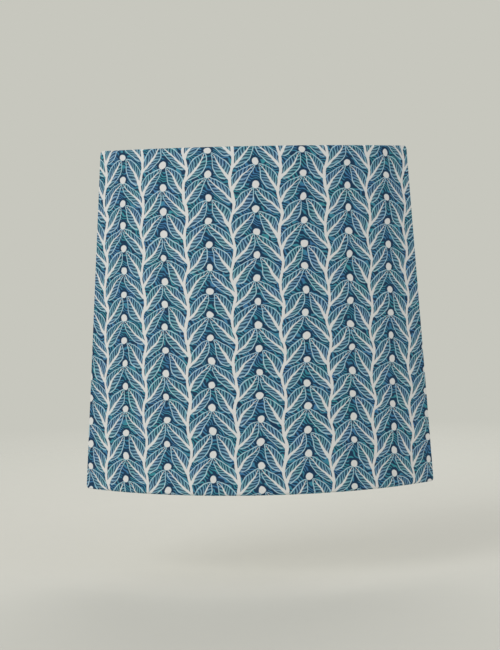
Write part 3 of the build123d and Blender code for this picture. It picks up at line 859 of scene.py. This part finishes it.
def hatched_ground(finish, x, y, inks):
    """Dark wavering strokes between the leaves."""
    waver = (finish.noise(6 * MM, 0.0) - 0.5) * HATCH_WAVER
    stroke = ((x * HATCH_SLANT + y) / inks.hatch + waver).wave()
    return (HATCH_DARK - stroke).shown(STROKE_BLUR)


def berries(x, y, inks):
    """Bare berries up the middle between two stems, a pitch apart, and the dark ring round each."""
    lane = (x / inks.stripe).floor()
    sideways = x - (lane + 0.5) * inks.stripe
    rows = y / inks.pitch + lane.math("FLOORED_MODULO", 2.0) * 0.5 + BERRY_RISE
    upward = (rows.math("FRACT") - 0.5) * inks.pitch
    apart = (sideways * sideways + upward * upward) ** 0.5
    ring = RING_HALF - abs(apart - inks.berry - RING_GAP)
    return (inks.berry - apart).shown(BLUR), ring.shown(BLUR)


def leaf_stripes(finish, inks):
    """Fields of the print over the flat paper: bare paper, pale lines, darker ink, and where ink is thin.

    Stems run up the paper a stripe apart, half a stripe from its middle line, and leaves lean out of each
    by turns. A leaf is a sine arch wide, drawn round with a pale line, with a bare rib and pale veins
    between darker strokes. Its ink thins towards rib and stem. Strokes hatch the ground, and a berry in a
    dark ring lies between the tips of two leaves.
    """
    x, y = print_places(finish)
    x = x + inks.stripe / 2
    height, beside = by_stem(x, y, inks)
    along, across = by_leaf(height, beside, inks)
    share = (along / inks.leaf_length).math("ADD", 0.0, clamp=True)
    arch = ((share**LEAF_LEAD) * pi).sine().most(0.0) ** LEAF_FULLNESS
    width = arch * inks.leaf_half * along.above(0.0)
    leaf = (width - across).shown(BLUR)
    outline = (inks.outline / 2 - abs(width - across)).shown(BLUR)
    outline = outline * along.above(OUTLINE_START) * along.below(inks.leaf_length)
    edge = across / width.most(LEAF_THIN)
    within = (width * VEIN_LIMIT - across).shown(BLUR)
    dark_vein, pale_vein = leaf_veins(finish, along, across, edge, within, inks)
    rib = ((1.0 - share) * inks.rib_half + RIB_TIP - across).shown(BLUR)
    rib = rib * along.above(0.0) * along.below(RIB_LIMIT * inks.leaf_length)
    stem = (inks.stem_half - abs(beside)).shown(BLUR)
    berry, ring = berries(x, y, inks)
    thin = leaf * (1.0 - edge) * (1.0 - share)
    ground = hatched_ground(finish, x, y, inks).most(ring)
    dark = dark_vein * (1.0 - thin * THIN_LOSS) * leaf + (1.0 - leaf) * ground
    pale = (pale_vein * VEIN_INK).most(outline * OUTLINE_INK)
    return rib.most(stem).most(berry), pale, dark, thin


def printed_paper(inks):
    """Matt paper printed with two blues: leaf stripes, drifting hue, mottled ink and a fibre relief."""
    finish = Finish("printed_paper", Specular_IOR_Level=0.25)
    bare, pale, dark, thin = leaf_stripes(finish, inks)
    hue = finish.blend((finish.noise(13 * MM, 1.0) - 0.5).shown(HUE_BLUR), inks.blue, inks.teal)
    wash = finish.blend(thin * WASH, hue, inks.pale)
    ink = finish.blend(pale, finish.blend(dark, wash, inks.navy), inks.pale)
    mottle = finish.noise(1.2 * MM, 3.0) * 0.5 + finish.noise(4.5 * MM, 1.0) * 0.5
    ink = finish.scaled(ink, 1.0 + (mottle - 0.5) * MOTTLE)
    grain = finish.noise(0.35 * MM, 3.0)
    base = finish.blend(bare, ink, finish.shades(mottle, inks.bare, 0.06))
    roughness = 0.66 + grain * 0.14 + bare * 0.06
    return finish.surface(base, roughness, grain * 0.6 + dark * 0.2, 0.03 * MM)


def plain_paper(inks):
    """The unprinted side and the cut edges of the paper."""
    finish = Finish("paper_back", Specular_IOR_Level=0.25)
    return finish.clouded(0.6 * MM, 3.0, inks.back, 0.07, (0.75, 0.1), 0.02 * MM)


def liner_sheet(colours):
    """Smooth matt sheet with a faint drawn cloudiness."""
    finish = Finish("liner_sheet", Specular_IOR_Level=0.4)
    cloud = finish.noise(30 * MM, 3.0)
    grain = finish.noise(0.8 * MM, 2.0)
    base = finish.shades(cloud * 0.7 + grain * 0.3, colours.liner, 0.06)
    return finish.surface(base, 0.46 + grain * 0.12, cloud + grain * 0.05, 0.12 * MM)


def dipped_wire(colours):
    """White dip coat with soft runs."""
    finish = Finish("dipped_wire", Coat_Weight=0.25, Coat_Roughness=0.2)
    runs = finish.noise(2.2 * MM, 2.0)
    patches = finish.noise(14 * MM, 2.0)
    base = finish.shades(runs * 0.4 + patches * 0.6, colours.wire, 0.07)
    return finish.surface(base, 0.32 + runs * 0.14, runs, 0.12 * MM)


def powder_coat(colours):
    """White powder coat with a fine orange peel."""
    finish = Finish("powder_coat")
    peel = finish.noise(0.7 * MM, 2.0)
    cloud = finish.noise(25 * MM, 2.0)
    base = finish.shades(peel * 0.4 + cloud * 0.6, colours.powder, 0.05)
    return finish.surface(base, 0.40 + peel * 0.14, peel, 0.05 * MM)


def moulding(colours):
    """White moulding with a half gloss and faint flow marks."""
    finish = Finish("white_moulding", Coat_Weight=0.15, Coat_Roughness=0.15)
    flow = finish.noise(6 * MM, 3.0, (1.0, 1.0, 0.35))
    grain = finish.noise(0.5 * MM, 2.0)
    base = finish.shades(flow * 0.7 + grain * 0.3, colours.moulded, 0.05)
    return finish.surface(base, 0.26 + flow * 0.16, grain, 0.015 * MM)


def nylon(colours):
    """Natural nylon, a little clear."""
    finish = Finish("natural_nylon", Subsurface_Weight=0.15, Subsurface_Scale=0.002)
    return finish.clouded(3 * MM, 3.0, colours.nylon, 0.08, (0.40, 0.15), 0.03 * MM)


def rubber(colours):
    """Matt black rubber with a dusty bloom."""
    finish = Finish("black_rubber", Specular_IOR_Level=0.3)
    return finish.clouded(2 * MM, 4.0, colours.rubber, 0.45, (0.62, 0.2), 0.05 * MM)


def drawn_brass(colours):
    """Brass with fine drawing lines and a little tarnish."""
    finish = Finish("drawn_brass", Metallic=1.0)
    lines = finish.noise(0.4 * MM, 2.0, (1.0, 1.0, 12.0))
    tarnish = finish.noise(5 * MM, 3.0)
    base = finish.shades(tarnish * 0.8 + lines * 0.2, colours.brass, 0.22)
    return finish.surface(base, 0.22 + tarnish * 0.2, lines, 0.01 * MM)


def zinc_plate(colours):
    """Bright zinc with a cloudy passivated bloom."""
    finish = Finish("zinc_plate", Metallic=1.0)
    bloom = finish.noise(2.5 * MM, 3.0)
    grain = finish.noise(0.3 * MM, 2.0)
    base = finish.shades(bloom, colours.zinc, 0.18)
    return finish.surface(base, 0.26 + bloom * 0.2, grain, 0.01 * MM)


def satin_nickel(colours):
    """Nickel over a brushed ground: fine lines across the light and a soft shine."""
    finish = Finish("satin_nickel", Metallic=1.0)
    lines = finish.noise(0.35 * MM, 2.0, (8.0, 1.0, 1.0))
    cloud = finish.noise(9 * MM, 2.0)
    base = finish.shades(cloud * 0.6 + lines * 0.4, colours.nickel, 0.12)
    return finish.surface(base, 0.16 + lines * 0.16, lines, 0.008 * MM)


def opal(colours):
    """Opal globe: white right through, with a soft shine."""
    finish = Finish("opal_globe", Coat_Weight=0.3, Coat_Roughness=0.1)
    return finish.clouded(12 * MM, 2.0, colours.opal, 0.03, (0.24, 0.1), 0.02 * MM)


def black_glass(colours):
    """Black glass with a fire-polished, slightly wavy face."""
    finish = Finish("black_glass", Coat_Weight=0.4)
    return finish.clouded(1.5 * MM, 2.0, colours.glass, 0.4, (0.10, 0.12), 0.06 * MM)


def solder(colours):
    """Dull solder with a frozen skin."""
    finish = Finish("dull_solder", Metallic=1.0)
    return finish.clouded(0.8 * MM, 3.0, colours.solder, 0.2, (0.36, 0.24), 0.06 * MM)


def chip_board(colours):
    """White board whose raised chips are yellow."""
    finish = Finish("chip_board")
    low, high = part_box("bulb_led_board")
    raised = finish.split(finish.place)[2].above(low.z + CHIP_RISE * (high.z - low.z))
    grain = finish.noise(1.0 * MM, 2.0)
    base = finish.shades(grain, colours.mask, 0.05)
    base = finish.blend(raised, base, finish.shades(grain, colours.phosphor, 0.15))
    return finish.surface(base, 0.35 + grain * 0.2, grain, 0.01 * MM)


# Stage


def aimed(position, target):
    """A placing matrix that looks from a position at a target."""
    away = (Vector(position) - Vector(target)).normalized()
    return Matrix.Translation(position) @ away.to_track_quat("Z", "Y").to_matrix().to_4x4()


def add_light(name, position, target, size, power):
    """A soft square light."""
    lamp = bpy.data.lights.new(name, "AREA")
    lamp.energy = power
    lamp.size = size
    add_object(name, lamp).matrix_world = aimed(position, target)


def add_camera(settings):
    """The camera at the photograph's angle: turned, tilted and rolled about its own axes."""
    lens = bpy.data.cameras.new("photo_camera")
    lens.lens = settings.focal
    place = (settings.camera_side, -settings.camera_distance, settings.camera_height)
    turn = Matrix.Rotation(-settings.yaw, 4, "Z")
    tilt = Matrix.Rotation(pi / 2 + settings.pitch, 4, "X")
    roll = Matrix.Rotation(settings.roll, 4, "Z")
    camera = add_object("photo_camera", lens)
    camera.matrix_world = Matrix.Translation(place) @ turn @ tilt @ roll
    bpy.context.scene.camera = camera


def floor_finish(settings):
    """Pale matt floor that fades out with distance from its middle, so that no edge or horizon shows.

    Its underside is clear, so that it hides nothing from below.
    """
    finish = Finish("pale_floor", Specular_IOR_Level=0.1)
    distance = finish.node("ShaderNodeVectorMath", Vector=finish.place)
    distance.operation = "LENGTH"
    share = Field(finish.tree, distance.outputs["Value"]) / settings.floor_radius
    under = Field(finish.tree, finish.node("ShaderNodeNewGeometry").outputs["Backfacing"])
    kept = (settings.fade_middle - share).shown(settings.fade_half) * (1.0 - under)
    grain = finish.noise(20 * MM, 3.0)
    finish.surface(finish.shades(grain, settings.floor, 0.012), 0.8 + grain * 0.1)
    clear = finish.node("ShaderNodeBsdfTransparent")
    fade_shaders(finish.tree, kept, clear, finish.shader, "Material Output")
    return finish.material


def add_floor(settings):
    """A round floor below the shade: a grid of radius and turn about the upright axis."""
    radius = column(spaced(settings.floor_radius, 0, FLOOR_STEPS))
    patch = turned(radius, np.zeros_like(radius), Vector((0, 0, 0)))
    mesh = bpy.data.meshes.new("floor")
    mesh.from_pydata(patch.reshape(-1, 3).tolist(), [], grid_faces(*patch.shape[:2], 0).tolist())
    mesh.materials.append(floor_finish(settings))
    floor = add_object("floor", mesh)
    floor.location.z = cad_box[0].z - settings.floor_drop


def add_world(settings):
    """Even light from all round. Straight, mirrored and clear looks past the object see the background."""
    world = bpy.data.worlds.new("studio")
    world.use_nodes = True
    tree = world.node_tree
    light = tree.nodes["Background"]
    light.inputs["Color"].default_value = (1.0, 1.0, 1.0, 1.0)
    light.inputs["Strength"].default_value = settings.ambient
    seen = tree.nodes.new("ShaderNodeBackground")
    seen.inputs["Color"].default_value = (*settings.background, 1.0)
    path = tree.nodes.new("ShaderNodeLightPath")
    looks = Field(tree, path.outputs["Is Camera Ray"])
    for name in ("Is Glossy Ray", "Is Transmission Ray"):
        looks = looks.most(Field(tree, path.outputs[name]))
    fade_shaders(tree, looks, light, seen, "World Output")
    bpy.context.scene.world = world


def build_stage(settings):
    """Camera, lights, floor and background."""
    middle = (cad_box[0] + cad_box[1]) / 2
    add_camera(settings)
    add_world(settings)
    add_floor(settings)
    for name, (place, size) in LIGHTS.items():
        add_light(name + "_light", place, middle, size, getattr(settings, name))
    bpy.context.scene.view_settings.view_transform = "Standard"


# Operators and sidebar


def built(build, context, *groups):
    """Builds pieces from some of the scene's groups of settings, for an operator."""
    build(*(getattr(context.scene, "cornerlight_" + group) for group in groups))
    return {"FINISHED"}


class CORNERLIGHT_OT_paper(bpy.types.Operator):
    """Build the printed paper with its rolled hems"""

    bl_idname = "cornerlight.paper"
    bl_label = "Printed Paper"

    def execute(self, context):
        return built(build_paper, context, "shade", "print")


class CORNERLIGHT_OT_liner(bpy.types.Operator):
    """Build the plain sheet under the paper"""

    bl_idname = "cornerlight.liner"
    bl_label = "Liner"

    def execute(self, context):
        return built(build_liner, context, "shade", "colours")


class CORNERLIGHT_OT_wires(bpy.types.Operator):
    """Coat the wire frame and add its welds"""

    bl_idname = "cornerlight.wires"
    bl_label = "Wire Frame"

    def execute(self, context):
        return built(build_wires, context, "shade", "colours")


class CORNERLIGHT_OT_plate(bpy.types.Operator):
    """Finish the corner plate and its cover"""

    bl_idname = "cornerlight.plate"
    bl_label = "Plate and Cover"

    def execute(self, context):
        return built(build_plate, context, "sizes", "colours")


class CORNERLIGHT_OT_wiring(bpy.types.Operator):
    """Finish the terminals and fixings inside the cover"""

    bl_idname = "cornerlight.wiring"
    bl_label = "Wiring"

    def execute(self, context):
        return built(build_wiring, context, "colours")


class CORNERLIGHT_OT_arm(bpy.types.Operator):
    """Finish the lamp arm and its collar"""

    bl_idname = "cornerlight.arm"
    bl_label = "Lamp Arm"

    def execute(self, context):
        return built(build_arm, context, "colours")


class CORNERLIGHT_OT_lampholder(bpy.types.Operator):
    """Finish the lampholder"""

    bl_idname = "cornerlight.lampholder"
    bl_label = "Lampholder"

    def execute(self, context):
        return built(build_lampholder, context, "sizes", "colours")


class CORNERLIGHT_OT_bulb(bpy.types.Operator):
    """Finish the bulb"""

    bl_idname = "cornerlight.bulb"
    bl_label = "Bulb"

    def execute(self, context):
        return built(build_bulb, context, "sizes", "colours")


class CORNERLIGHT_OT_stage(bpy.types.Operator):
    """Set up camera, lights, floor and background"""

    bl_idname = "cornerlight.stage"
    bl_label = "Stage"

    def execute(self, context):
        return built(build_stage, context, "stage")


GROUPS = {
    "cornerlight_shade": ShadeSizes,
    "cornerlight_print": PrintSizes,
    "cornerlight_sizes": FittingSizes,
    "cornerlight_colours": FittingColours,
    "cornerlight_stage": StageSettings,
}
OPERATORS = (
    CORNERLIGHT_OT_paper,
    CORNERLIGHT_OT_liner,
    CORNERLIGHT_OT_wires,
    CORNERLIGHT_OT_plate,
    CORNERLIGHT_OT_wiring,
    CORNERLIGHT_OT_arm,
    CORNERLIGHT_OT_lampholder,
    CORNERLIGHT_OT_bulb,
    CORNERLIGHT_OT_stage,
)


class CORNERLIGHT_PT_builder(bpy.types.Panel):
    """Lists the pieces to build and their settings"""

    bl_idname = "CORNERLIGHT_PT_builder"
    bl_label = "Corner Light"
    bl_space_type = "VIEW_3D"
    bl_region_type = "UI"
    bl_category = "Corner Light"

    def draw(self, context):
        for operator in OPERATORS:
            self.layout.operator(operator.bl_idname)
        for name, group in GROUPS.items():
            box = self.layout.box()
            for key in group.__annotations__:
                box.prop(getattr(context.scene, name), key)


def register():
    """Registers settings, operators and sidebar."""
    for kind in (*GROUPS.values(), *OPERATORS, CORNERLIGHT_PT_builder):
        bpy.utils.register_class(kind)
    for name, group in GROUPS.items():
        setattr(bpy.types.Scene, name, PointerProperty(type=group))


def unregister():
    """Takes them away again."""
    for name in GROUPS:
        delattr(bpy.types.Scene, name)
    for kind in (CORNERLIGHT_PT_builder, *OPERATORS, *GROUPS.values()):
        bpy.utils.unregister_class(kind)


def main():
    """Builds every piece and the stage."""
    register()
    for operator in OPERATORS:
        getattr(bpy.ops.cornerlight, operator.bl_idname.split(".")[1])()


if __name__ == "__main__":
    main()
